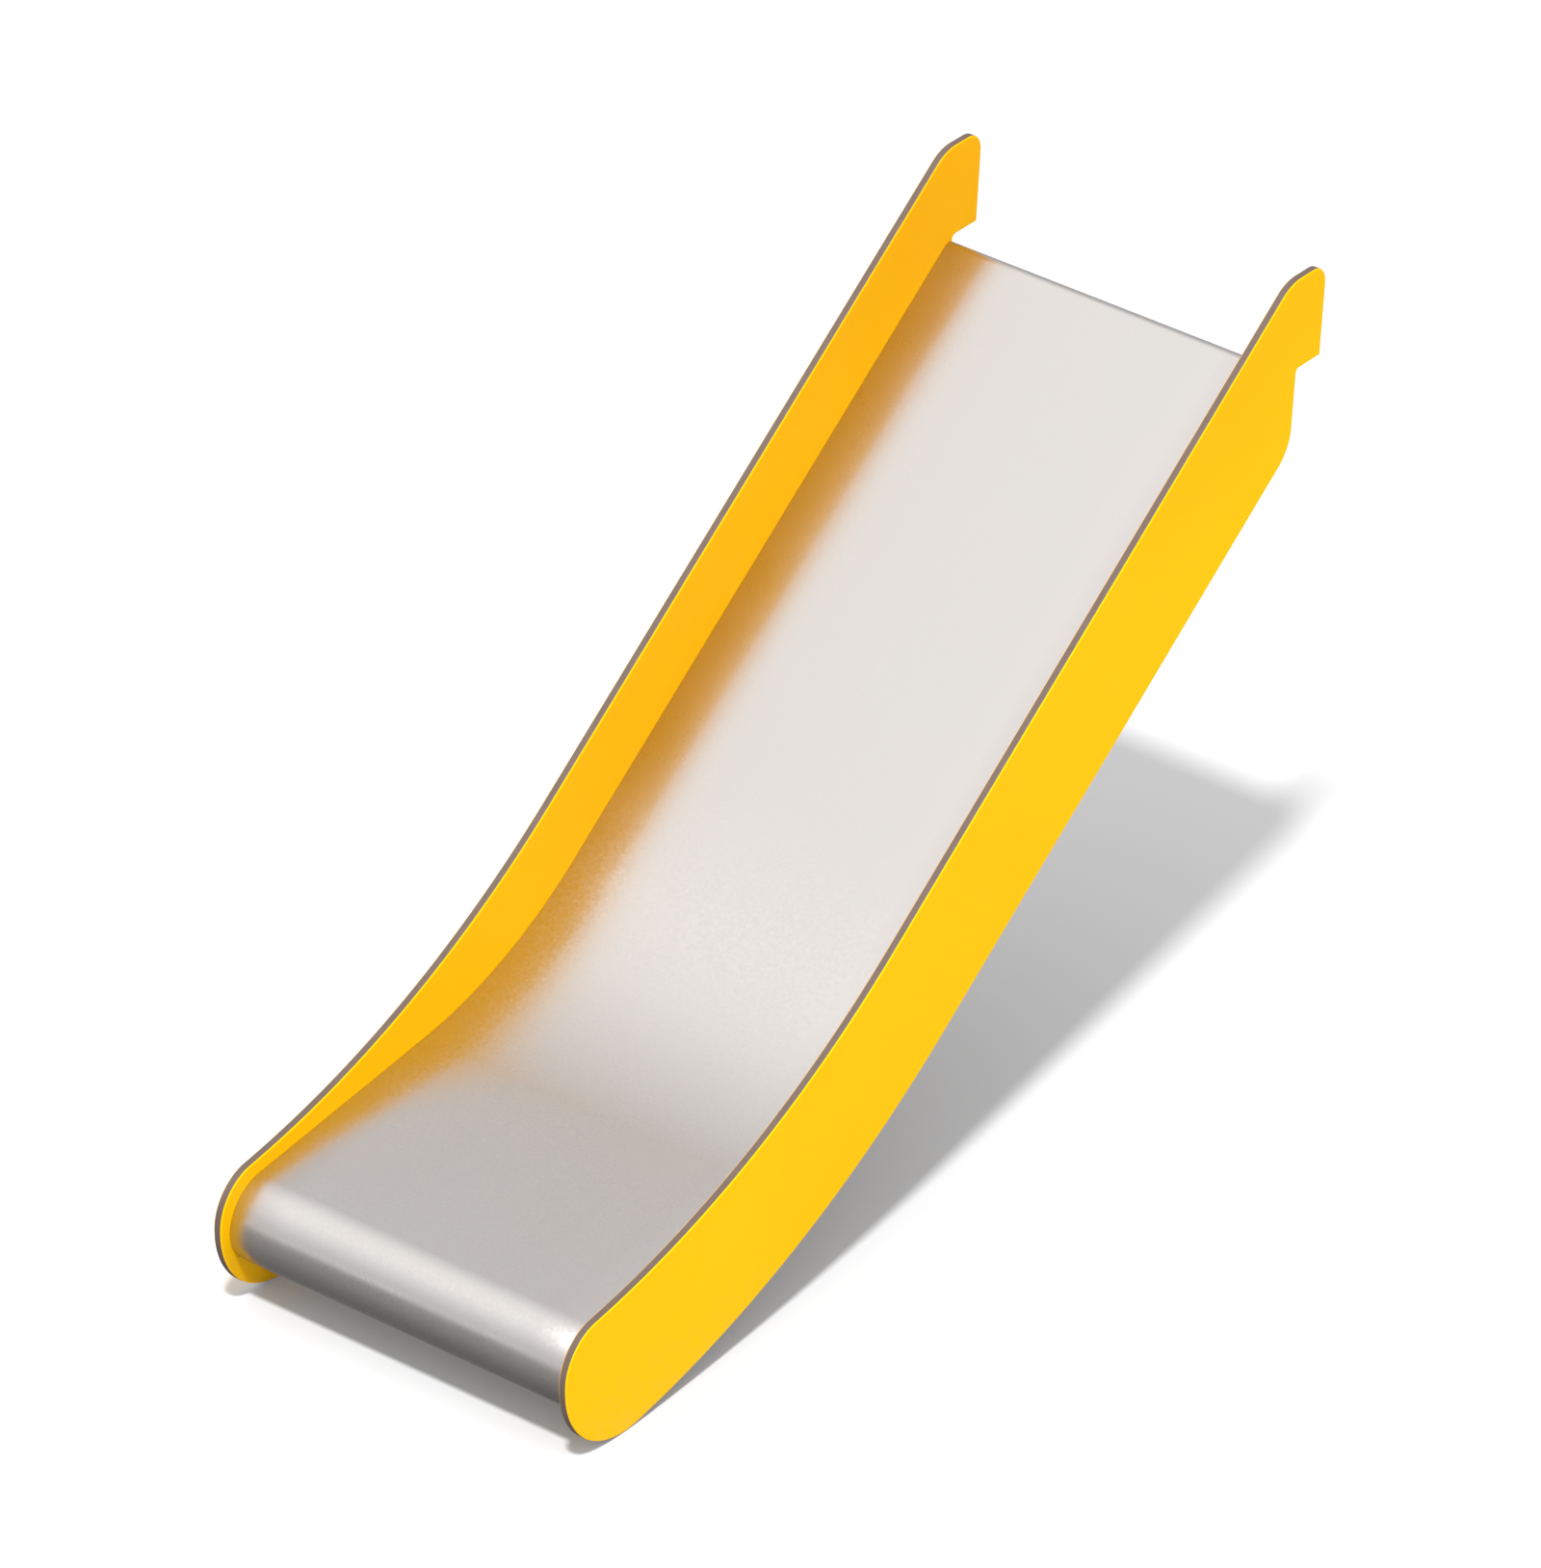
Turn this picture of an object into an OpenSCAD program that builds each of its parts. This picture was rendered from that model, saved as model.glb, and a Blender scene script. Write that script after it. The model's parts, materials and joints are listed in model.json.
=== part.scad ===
// Straight open slide for a raised play platform: a stainless steel bed between two laminate side panels.
// X runs across the slide, Y up the slope from the exit to the platform, Z up from the ground.
// The origin is on the centre line, at ground level, in the middle of the ground anchor holes.

/* [Platform] */
// Height of the platform floor above the ground
deck_h = 900; // [750:10:1100]
// Gap between the back edge of a side panel and the platform's edge beam
deck_side_gap = 3; // [2:1:6]
// Gap between the platform floor and the tail of a side panel
deck_top_gap = 5; // [3:1:10]

/* [Bed] */
// Clear width between the two side panels
bed_w = 510; // [420:5:620]
// Gap between the bed and each side panel
bed_side_gap = 0.3; // [0.2:0.1:0.6]
// Thickness of the bed sheet
sheet_t = 2; // [1.5:0.5:3]
// Angle of the slope in degrees
slope_angle = 37.8; // [34:0.2:40]
// Fall of the run-out towards the exit in degrees
runout_angle = 7; // [5:0.5:9]
// Length of the run-out, measured level from the nose centre to the corner under the bend
runout_l = 477; // [440:1:560]
// Radius of the bend between the slope and the run-out
bend_r = 600; // [450:10:720]
// Outer radius of the rolled nose
nose_r = 60; // [50:1:72]
// Height of the nose centre above the ground
nose_h = 113; // [100:1:125]
// Length of the lip that runs back under the nose
nose_lip_l = 35; // [20:1:50]
// Outer radius of the bend at the top of the slope
hem_r = 12; // [8:1:16]
// Depth of the hem flange below the platform floor
hem_depth = 80; // [76:1:96]

/* [Side panels] */
// Thickness of a side panel
panel_t = 12; // [12:1:16]
// Height of a side panel's top edge above the bed, square to the slope
rim_h = 114; // [100:1:140]
// Depth of a side panel, square to the slope
panel_depth = 206; // [185:1:250]
// Radius of the top edge above the bend
rim_bend_r = 1235; // [1000:5:1500]
// Radius of the lower edge under the bend
belly_bend_r = 1350; // [1100:5:1650]
// How far the tip of a side panel stands in front of the nose
tip_lead = 17; // [10:1:25]
// Height of the foremost point of a side panel
tip_h = 126; // [110:1:150]
// Radius of the tip above its foremost point
tip_top_r = 65; // [54:1:78]
// How far a side panel's tail reaches over the platform
tail_l = 48; // [40:1:60]
// Height of the tail's top edge above the platform floor
tail_h = 135; // [112:1:160]
// Radius where the slope meets the tail's top edge
tail_bend_r = 60; // [50:1:72]
// Radius of the tail's back corner
tail_corner_r = 28; // [22:1:34]
// Radius of the lower back corner
heel_r = 60; // [50:1:72]
// Radius of the inner corner under the tail
notch_r = 5; // [4:1:8]

/* [Frame] */
// Space between a rail and its side panel
rail_gap = 12; // [11:1:15]
// Thickness of a rail, a foot and the entry plate
plate_t = 5; // [4:1:6]
// Gap between a cross tube and the bed sheet that lies on it
weld_gap = 0.1; // [0.1:0.1:0.3]
// Depth of a rail below the bed sheet
rail_depth = 45; // [40:1:52]
// Size of a cross tube along the bed
tube_w = 40; // [30:1:50]
// Size of a cross tube away from the bed
tube_d = 20; // [16:1:25]
// Wall of a cross tube
tube_wall = 2; // [1.5:0.5:3]
// Outer diameter of the tube in the nose
nose_tube_d = 42.4; // [35:0.1:48]
// Wall of the tube in the nose
nose_tube_wall = 2.6; // [2:0.1:4]
// Number of ribs in the nose
nose_rib_n = 3; // [2:1:5]
// Distance between the ribs in the nose
nose_rib_pitch = 120; // [80:5:130]
// Distance of the run-out cross tube from the nose centre
runout_tube_y = 180; // [150:1:200]
// Distance of the lowest slope cross tube from the end of the bend
lower_tube_s = 40; // [30:1:60]
// Distance of the highest slope cross tube from the platform
upper_tube_s = 230; // [190:1:280]

/* [Panel fixings] */
// Diameter of a panel screw
screw_d = 8; // [6:1:8]
// Depth of the fixings below the bed
screw_drop = 28; // [26:1:32]
// Distance of the first run-out fixing from the nose centre
screw_first_y = 90; // [80:1:110]
// Distance between the two run-out fixings
runout_screw_pitch = 200; // [190:1:210]
// Distance of the first slope fixing from the corner under the bend
screw_first_s = 100; // [90:1:120]
// Distance of the last slope fixing from the platform
screw_last_s = 100; // [90:1:120]
// Number of fixings along the slope
slope_screw_n = 4; // [3:1:5]
// Outer diameter of a threaded insert
insert_d = 12; // [11:0.5:13]
// Length of a threaded insert
insert_l = 9; // [8:0.5:10]
// Outer diameter of a spacer between rail and panel
spacer_d = 20; // [16:1:24]
// Running gap around screws, inserts and ribs
fit_gap = 0.1; // [0.1:0.05:0.2]

/* [Feet and platform fixings] */
// Distance of the feet from the nose centre
foot_y = 113; // [108:1:130]
// Width of a foot along the slide
foot_w = 90; // [80:1:110]
// Length of a foot's base across the slide
foot_base_l = 75; // [65:1:90]
// Inside radius of the bend in a foot
foot_bend_r = 5; // [4:1:6]
// Diameter of a foot bolt
foot_bolt_d = 10; // [8:1:10]
// Height of the foot bolts above the ground
foot_bolt_h = 92; // [80:1:100]
// Distance between the two bolts of a foot
foot_bolt_pitch = 45; // [40:1:50]
// Upright travel that a foot's slots give its bolts
foot_slot_travel = 16; // [8:1:20]
// Diameter of a ground anchor hole
anchor_d = 13; // [11:1:14]
// Distance between the anchor holes across the slide
anchor_x = 390; // [380:1:392]
// Distance between the anchor holes along the slide
anchor_y = 50; // [44:1:56]
// Diameter of a platform bolt hole
deck_bolt_d = 11; // [9:1:13]
// Distance between the outer platform bolt holes
deck_outer_x = 380; // [340:1:400]
// Distance between the inner platform bolt holes
deck_inner_x = 140; // [100:1:160]
// Depth of the platform bolt holes below the platform floor
deck_bolt_drop = 50; // [46:1:56]

/* [Hidden] */
$fn = 96;

laminate_yellow = [1.0, 0.79, 0.03];
stainless = [0.82, 0.81, 0.79];
zinc = [0.66, 0.67, 0.68];
dark_zinc = [0.50, 0.51, 0.52];
brass = [0.78, 0.66, 0.36];

// Unit vectors in the Y-Z plane: up the slope, square to it, and the same for the run-out
up = [cos(slope_angle), sin(slope_angle)];
out = [-sin(slope_angle), cos(slope_angle)];
run_up = [cos(runout_angle), sin(runout_angle)];
run_out = [-sin(runout_angle), cos(runout_angle)];

// Bed: nose centre, corner under the bend, and the corner where the slope meets the hem's back face
nose_c = [-foot_y, nose_h];
tip_y = nose_c[0] - nose_r - tip_lead;
bend_v = nose_c + [runout_l, nose_r / cos(runout_angle) + runout_l * tan(runout_angle)];
bend_t = bend_r * tan((slope_angle - runout_angle) / 2);
bend_c = bend_v - run_up * bend_t + run_out * bend_r;
hem_t = hem_r / tan((90 - slope_angle) / 2);
top_z = deck_h + hem_t - hem_r;
slope_l = (top_z - bend_v[1]) / sin(slope_angle);
top_v = bend_v + up * slope_l;
deck_y = top_v[0];
hem_c = [deck_y - hem_r, top_z - hem_t];

// Frame: the rails stand inside the panels, and end at the entry plate
panel_x = bed_w / 2;
rail_out_x = panel_x - rail_gap;
rail_in_x = rail_out_x - plate_t;
foot_in_x = rail_in_x - plate_t;
entry_y = deck_y - sheet_t - plate_t;
// How far a cutter reaches past what it cuts
past = 1;

function bed_z(y) = bend_v[1] + (y - bend_v[0]) * tan(runout_angle);
function on_slope(s, drop) = bend_v + up * s - out * drop;
function on_runout(y, drop) = [y, bed_z(y)] - run_out * drop;
function below_runout(y, drop) = bed_z(y) - drop / cos(runout_angle);

// The centre of an arc of radius r that touches the slope line through p and also touches a circle round c:
// reach is the distance between the two centres
function arc_centre(p, r, c, reach) =
    let (q = p + out * r - c, along = q * up)
    p + out * r + up * (sqrt(along * along - q * q + reach * reach) - along);
function arc(c, r, from, to, steps) =
    [for (i = [0:steps]) let (a = from + (to - from) * i / steps) c + r * [cos(a), sin(a)]];
// The angle of a vector
function direction(v) = atan2(v[1], v[0]);

// The arc that rounds the corner at v, between the edges that leave it along a and along b
function corner(v, a, b, r) =
    let (
        half = acos(a * b) / 2,
        c = v + (a + b) / norm(a + b) * r / sin(half),
        from = direction(v + a * r / tan(half) - c),
        turn = -sign(cross(a, b)) * (180 - 2 * half)
    )
    arc(c, r, from, from + turn, corner_steps);
function backward(list) = [for (i = [len(list) - 1:-1:0]) list[i]];
// The point at a distance d from one point towards another
function toward(from, to, d) = from + (to - from) * d / norm(to - from);

// The bed's curves at a depth d below its top, and its whole path from the lip under the nose to the hem's lower edge
nose_steps = 36;
bend_steps = 20;
hem_steps = 12;
tip_steps = 24;
panel_bend_steps = 24;
corner_steps = 10;
hem_low_z = deck_h - hem_depth;
function nose_arc(d) = arc(nose_c, nose_r - d, 270, 90 + runout_angle, nose_steps);
function bend_arc(d) = arc(bend_c, bend_r + d, runout_angle - 90, slope_angle - 90, bend_steps);
function bed_path(d) = concat(
    [nose_c + [nose_lip_l, d - nose_r]],
    nose_arc(d),
    bend_arc(d),
    arc(hem_c, hem_r - d, 90 + slope_angle, 0, hem_steps),
    [[deck_y - d, hem_low_z]]
);

// Side panel outline
belly_r = tip_h;
tip_top_c = [tip_y + tip_top_r, tip_h];
belly_c = [tip_y + belly_r, belly_r];
rim_p = top_v + out * rim_h;
belly_p = top_v - out * (panel_depth - rim_h);
rim_c = arc_centre(rim_p, rim_bend_r, tip_top_c, rim_bend_r + tip_top_r);
belly_bend_c = arc_centre(belly_p, belly_bend_r, belly_c, belly_bend_r - belly_r);
rim_a = toward(tip_top_c, rim_c, tip_top_r);
belly_a = toward(belly_bend_c, belly_c, belly_bend_r);
tail_z = deck_h + tail_h;
tail_y = deck_y + tail_l;
heel_y = deck_y - deck_side_gap;
notch_z = deck_h + deck_top_gap;
rim_end = rim_p + up * (tail_z - rim_p[1]) / sin(slope_angle);
heel = belly_p + up * (heel_y - belly_p[0]) / cos(slope_angle);

// Fixing positions in the Y-Z plane
slope_screw_pitch = (slope_l - screw_first_s - screw_last_s) / (slope_screw_n - 1);
panel_fixings = concat(
    [for (i = [0:1]) on_runout(nose_c[0] + screw_first_y + i * runout_screw_pitch, screw_drop)],
    [for (i = [0:slope_screw_n - 1]) on_slope(screw_first_s + i * slope_screw_pitch, screw_drop)]
);
washer_t = 1.6;
washer_d = 2 * screw_d;
head_d = 1.75 * screw_d;
head_h = 0.55 * screw_d;
socket_d = 0.6 * screw_d;
screw_end = 1;
insert_hole_l = insert_l + 0.5;
hole_d = screw_d + 1;

// Foot and its fixings
tab_low_z = foot_bolt_h - 22;
foot_top_z = foot_bolt_h + foot_slot_travel / 2 + 18;
foot_hole_d = foot_bolt_d + 1;
foot_washer_t = 2;
foot_washer_d = 2 * foot_bolt_d;
foot_nut_h = 0.75 * foot_bolt_d;
foot_nut_d = 1.84 * foot_bolt_d;
foot_head_h = 0.64 * foot_bolt_d;
foot_bolt_end = 0.8;

// Cross tubes
lower_tube_at = bend_t + lower_tube_s;
upper_tube_at = slope_l - upper_tube_s;

// A flat shape drawn in Y and Z, made solid from x0 to x1
module across(x0, x1)
    translate([x0, 0, 0])
        rotate([90, 0, 90])
            linear_extrude(height = x1 - x0)
                children();

// Children drawn for the right side, put on the left
module on_left() mirror([1, 0, 0]) children();

// Puts children at each point of the list, in the Y-Z plane at x
module at_each(points, x)
    for (p = points)
        translate([x, p[0], p[1]])
            children();

// A round bar along +X
module bar(d, l) rotate([0, 90, 0]) cylinder(d = d, h = l);

// A ring along +X
module ring(d, bore, l)
    difference() {
        bar(d, l);
        translate([-past, 0, 0])
            bar(bore, l + 2 * past);
    }

module panel_outline()
    polygon(concat(
        arc(belly_c, belly_r, -180, direction(belly_a - belly_c), tip_steps),
        arc(belly_bend_c, belly_bend_r, direction(belly_a - belly_bend_c), slope_angle - 90, panel_bend_steps),
        corner(heel, -up, [0, 1], heel_r),
        corner([heel_y, notch_z], [0, -1], [1, 0], notch_r),
        [[tail_y, notch_z]],
        corner([tail_y, tail_z], [0, -1], [-1, 0], tail_corner_r),
        corner(rim_end, [1, 0], -up, tail_bend_r),
        arc(rim_c, rim_bend_r, slope_angle - 90, direction(rim_a - rim_c), panel_bend_steps),
        arc(tip_top_c, tip_top_r, direction(rim_a - tip_top_c), 180, tip_steps)
    ));

module bed_profile() polygon(concat(bed_path(0), backward(bed_path(sheet_t))));

// The rail follows the underside of the bed, fills the roll of the nose, and reaches down in a tab to the foot
module rail_profile() {
    low_d = sheet_t + rail_depth;
    nose_in_r = nose_r - sheet_t;
    root = runout_angle + asin((nose_r - low_d) / nose_in_r);
    low_end = top_v - out * low_d + up * ((entry_y - top_v[0] - low_d * sin(slope_angle)) / cos(slope_angle));
    polygon(concat(
        arc(nose_c, nose_in_r, root, -90, nose_steps),
        nose_arc(sheet_t),
        bend_arc(sheet_t),
        [top_v - up * hem_t - out * sheet_t, [entry_y, hem_c[1]], low_end],
        backward(bend_arc(low_d)),
        [
            [foot_w / 2, below_runout(foot_w / 2, low_d)], [foot_w / 2, tab_low_z],
            [-foot_w / 2, tab_low_z], [-foot_w / 2, below_runout(-foot_w / 2, low_d)]
        ]
    ));
}

module deck_bolt_holes()
    for (x = [-deck_outer_x, -deck_inner_x, deck_inner_x, deck_outer_x] / 2)
        translate([x, deck_y + past, deck_h - deck_bolt_drop])
            rotate([90, 0, 0])
                cylinder(d = deck_bolt_d, h = sheet_t + plate_t + 2 * past);

module foot_bolt_places(x)
    for (y = [-foot_bolt_pitch, foot_bolt_pitch] / 2)
        translate([x, y, foot_bolt_h])
            children();

module bed_sheet()
    color(stainless)
        difference() {
            across(-panel_x + bed_side_gap, panel_x - bed_side_gap)
                bed_profile();
            deck_bolt_holes();
        }

module right_side_panel()
    color(laminate_yellow)
        difference() {
            across(panel_x, panel_x + panel_t)
                panel_outline();
            at_each(panel_fixings, panel_x - past)
                bar(insert_d + 2 * fit_gap, insert_hole_l + past);
        }

module left_side_panel() on_left() right_side_panel();

module right_rail()
    color(zinc)
        difference() {
            across(rail_in_x, rail_out_x)
                rail_profile();
            at_each(panel_fixings, rail_in_x - past)
                bar(hole_d, plate_t + 2 * past);
            foot_bolt_places(rail_in_x - past)
                bar(foot_hole_d, plate_t + 2 * past);
        }

module left_rail() on_left() right_rail();

module entry_plate()
    color(zinc)
        difference() {
            translate([-rail_out_x, entry_y, hem_low_z])
                cube([2 * rail_out_x, plate_t, hem_c[1] - hem_low_z]);
            deck_bolt_holes();
        }

// A cross tube whose top face lies on the underside of the bed at p, turned to the bed's angle there
module cross_tube(p, angle)
    color(zinc)
        translate([0, p[0], p[1]])
            rotate([angle, 0, 0])
                translate([0, 0, -tube_d / 2 - weld_gap])
                    difference() {
                        cube([2 * rail_in_x, tube_w, tube_d], center = true);
                        cube([2 * rail_in_x + 2 * past, tube_w - 2 * tube_wall, tube_d - 2 * tube_wall], center = true);
                    }

module upper_cross_tube() cross_tube(on_slope(upper_tube_at, sheet_t), slope_angle);

module middle_cross_tube() cross_tube(on_slope((lower_tube_at + upper_tube_at) / 2, sheet_t), slope_angle);

module lower_cross_tube() cross_tube(on_slope(lower_tube_at, sheet_t), slope_angle);

module runout_cross_tube() cross_tube(on_runout(nose_c[0] + runout_tube_y, sheet_t), runout_angle);

module nose_tube()
    color(zinc)
        at_each([nose_c], -rail_in_x)
            ring(nose_tube_d, nose_tube_d - 2 * nose_tube_wall, 2 * rail_in_x);

module nose_ribs()
    color(zinc)
        for (i = [0:nose_rib_n - 1])
            at_each([nose_c], (i - (nose_rib_n - 1) / 2) * nose_rib_pitch - plate_t / 2)
                ring(2 * (nose_r - sheet_t - fit_gap), nose_tube_d + 2 * fit_gap, plate_t);

module right_panel_spacers()
    color(dark_zinc)
        at_each(panel_fixings, rail_out_x)
            ring(spacer_d, hole_d, rail_gap);

module left_panel_spacers() on_left() right_panel_spacers();

module right_panel_inserts()
    color(brass)
        at_each(panel_fixings, panel_x)
            ring(insert_d, screw_d + 2 * fit_gap, insert_l);

module left_panel_inserts() on_left() right_panel_inserts();

module right_panel_washers()
    color(stainless)
        at_each(panel_fixings, rail_in_x - washer_t)
            ring(washer_d, hole_d, washer_t);

module left_panel_washers() on_left() right_panel_washers();

// A button-head screw with its head's seat at x = 0, pointing along +X
module panel_screw() {
    length = washer_t + plate_t + rail_gap + insert_l - screw_end;
    dome_r = (head_d * head_d / 4 + head_h * head_h) / (2 * head_h);
    bar(screw_d, length);
    difference() {
        intersection() {
            translate([dome_r - head_h, 0, 0])
                sphere(r = dome_r);
            translate([-head_h, 0, 0])
                bar(head_d, head_h);
        }
        translate([-head_h - past, 0, 0])
            rotate([0, 90, 0])
                cylinder(d = socket_d, h = past + head_h * 0.7, $fn = 6);
    }
}

module right_panel_screws()
    color(stainless)
        at_each(panel_fixings, rail_in_x - washer_t)
            panel_screw();

module left_panel_screws() on_left() right_panel_screws();

// The angle that a foot is bent to, seen along the slide
module foot_section() {
    base_in_x = foot_in_x - foot_base_l + plate_t;
    polygon(concat(
        [[base_in_x, 0]],
        corner([rail_in_x, 0], [-1, 0], [0, 1], foot_bend_r + plate_t),
        [[rail_in_x, foot_top_z], [foot_in_x, foot_top_z]],
        corner([foot_in_x, plate_t], [0, 1], [-1, 0], foot_bend_r),
        [[base_in_x, plate_t]]
    ));
}

module right_foot()
    color(zinc)
        difference() {
            translate([0, foot_w / 2, 0])
                rotate([90, 0, 0])
                    linear_extrude(height = foot_w)
                        foot_section();
            foot_bolt_places(foot_in_x - past) {
                for (z = [-foot_slot_travel, foot_slot_travel] / 2)
                    translate([0, 0, z])
                        bar(foot_hole_d, plate_t + 2 * past);
                translate([0, -foot_hole_d / 2, -foot_slot_travel / 2])
                    cube([plate_t + 2 * past, foot_hole_d, foot_slot_travel]);
            }
            for (y = [-anchor_y, anchor_y] / 2)
                translate([anchor_x / 2, y, -past])
                    cylinder(d = anchor_d, h = plate_t + 2 * past);
        }

module left_foot() on_left() right_foot();

module right_foot_bolts() {
    length = foot_washer_t + 2 * plate_t + foot_washer_t + foot_nut_h + foot_bolt_end;
    color(dark_zinc)
        foot_bolt_places(foot_in_x - foot_washer_t) {
            bar(foot_bolt_d, length);
            translate([-foot_head_h, 0, 0])
                rotate([0, 90, 0])
                    cylinder(d = foot_nut_d, h = foot_head_h, $fn = 6);
        }
}

module left_foot_bolts() on_left() right_foot_bolts();

module right_foot_washers()
    color(zinc)
        for (x = [foot_in_x - foot_washer_t, rail_out_x])
            foot_bolt_places(x)
                ring(foot_washer_d, foot_hole_d, foot_washer_t);

module left_foot_washers() on_left() right_foot_washers();

module right_foot_nuts()
    color(dark_zinc)
        foot_bolt_places(rail_out_x + foot_washer_t)
            difference() {
                rotate([0, 90, 0])
                    cylinder(d = foot_nut_d, h = foot_nut_h, $fn = 6);
                translate([-past, 0, 0])
                    bar(foot_bolt_d + 2 * fit_gap, foot_nut_h + 2 * past);
            }

module left_foot_nuts() on_left() right_foot_nuts();

bed_sheet();
left_side_panel();
right_side_panel();
left_rail();
right_rail();
entry_plate();
upper_cross_tube();
middle_cross_tube();
lower_cross_tube();
runout_cross_tube();
nose_tube();
nose_ribs();
left_panel_spacers();
right_panel_spacers();
left_panel_inserts();
right_panel_inserts();
left_panel_screws();
right_panel_screws();
left_panel_washers();
right_panel_washers();
left_foot();
right_foot();
left_foot_bolts();
right_foot_bolts();
left_foot_washers();
right_foot_washers();
left_foot_nuts();
right_foot_nuts();
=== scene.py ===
import json
from math import acos, atan2, ceil, cos, degrees, pi, radians, sin, sqrt, tan

import bmesh
import bpy
from mathutils import Matrix, Vector


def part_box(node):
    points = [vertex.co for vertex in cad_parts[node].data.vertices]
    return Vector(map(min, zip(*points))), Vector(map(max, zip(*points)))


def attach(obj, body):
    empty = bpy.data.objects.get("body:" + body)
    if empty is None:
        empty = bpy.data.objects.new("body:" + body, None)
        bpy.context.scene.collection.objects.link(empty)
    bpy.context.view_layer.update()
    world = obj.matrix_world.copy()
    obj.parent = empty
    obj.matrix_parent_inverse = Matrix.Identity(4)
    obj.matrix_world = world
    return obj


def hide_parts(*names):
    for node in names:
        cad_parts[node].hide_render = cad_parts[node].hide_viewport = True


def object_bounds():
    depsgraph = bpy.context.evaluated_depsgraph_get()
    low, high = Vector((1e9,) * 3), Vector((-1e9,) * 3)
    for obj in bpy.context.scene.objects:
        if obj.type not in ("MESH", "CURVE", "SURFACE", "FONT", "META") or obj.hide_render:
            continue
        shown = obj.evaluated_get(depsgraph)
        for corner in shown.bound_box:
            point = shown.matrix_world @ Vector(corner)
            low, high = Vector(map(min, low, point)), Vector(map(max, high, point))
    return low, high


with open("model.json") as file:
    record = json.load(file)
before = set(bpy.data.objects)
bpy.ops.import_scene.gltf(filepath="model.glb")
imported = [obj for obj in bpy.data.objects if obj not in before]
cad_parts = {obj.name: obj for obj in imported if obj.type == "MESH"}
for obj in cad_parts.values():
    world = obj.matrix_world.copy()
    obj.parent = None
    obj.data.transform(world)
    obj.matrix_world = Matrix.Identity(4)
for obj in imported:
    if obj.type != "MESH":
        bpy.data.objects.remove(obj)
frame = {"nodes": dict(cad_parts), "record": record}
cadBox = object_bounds()
nodes = frame["nodes"]
print("frame loaded:", len(nodes), "nodes")


# Small helpers for points in the Y-Z plane, for meshes and for materials

def arcPoints(centre, radius, start, end, steps):
    turn = [radians(start + (end - start) * i / steps) for i in range(steps + 1)]
    return [centre + Vector((cos(a), sin(a))) * radius for a in turn]


def angleOf(vector):
    return degrees(atan2(vector.y, vector.x))


def cornerArc(corner, along, back, radius, steps):
    half = acos(along.dot(back)) / 2
    centre = corner + (along + back).normalized() * radius / sin(half)
    start = angleOf(corner + along * radius / tan(half) - centre)
    side = along.x * back.y - along.y * back.x
    turn = (180 - 2 * degrees(half)) * (-1 if side > 0 else 1)
    return arcPoints(centre, radius, start, start + turn, steps)


def newPiece(name, mesh, replaced=()):
    piece = bpy.data.objects.new(name, mesh)
    bpy.context.scene.collection.objects.link(piece)
    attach(piece, "root")
    if replaced:
        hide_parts(*replaced)
    return piece


def applyModifier(piece, kind, **settings):
    modifier = piece.modifiers.new(kind, kind)
    for key, value in settings.items():
        setattr(modifier, key, value)
    bpy.context.view_layer.objects.active = piece
    with bpy.context.temp_override(object=piece, active_object=piece):
        bpy.ops.object.modifier_apply(modifier=modifier.name)


def smoothBelow(piece, angle):
    piece.data.shade_smooth()
    piece.data.set_sharp_from_angle(angle=radians(angle))


def drillHoles(piece, places, axis, diameter, depth, sides=64):
    # One cutter with a round bar at every place, each centred there
    cutter = bmesh.new()
    turn = Vector((0, 0, 1)).rotation_difference(Vector(axis)).to_matrix().to_4x4()
    for place in places:
        bmesh.ops.create_cone(cutter, cap_ends=True, segments=sides, radius1=diameter / 2,
                              radius2=diameter / 2, depth=depth, matrix=Matrix.Translation(place) @ turn)
    mesh = bpy.data.meshes.new("cutter")
    cutter.to_mesh(mesh)
    cutter.free()
    tool = bpy.data.objects.new("cutter", mesh)
    bpy.context.scene.collection.objects.link(tool)
    applyModifier(piece, "BOOLEAN", object=tool, operation="DIFFERENCE", solver="EXACT")
    bpy.data.objects.remove(tool)


def addNode(tree, kind, inputs=None, **settings):
    node = tree.nodes.new(kind)
    for key, value in settings.items():
        setattr(node, key, value)
    for key, value in (inputs or {}).items():
        if isinstance(value, bpy.types.NodeSocket):
            tree.links.new(value, node.inputs[key])
        else:
            node.inputs[key].default_value = value
    return node


def startMaterial(name, metal=0.0):
    material = bpy.data.materials.new(name)
    material.use_nodes = True
    tree = material.node_tree
    shader = tree.nodes["Principled BSDF"]
    shader.inputs["Metallic"].default_value = metal
    place = addNode(tree, "ShaderNodeTexCoord").outputs["Object"]
    return material, tree, shader, place


def stretched(tree, place, scale):
    return addNode(tree, "ShaderNodeMapping", {"Vector": place, "Scale": scale}).outputs[0]


def noise(tree, place, scale, detail=3.0, roughness=0.55):
    return addNode(tree, "ShaderNodeTexNoise",
                   {"Vector": place, "Scale": scale, "Detail": detail, "Roughness": roughness}).outputs[0]


def remap(tree, value, low, high, toLow=0.0, toHigh=1.0):
    return addNode(tree, "ShaderNodeMapRange", {0: value, 1: low, 2: high, 3: toLow, 4: toHigh}).outputs[0]


def times(tree, first, second):
    return addNode(tree, "ShaderNodeMath", {0: first, 1: second}, operation="MULTIPLY").outputs[0]


def plus(tree, first, second):
    return addNode(tree, "ShaderNodeMath", {0: first, 1: second}, operation="ADD").outputs[0]


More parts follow.
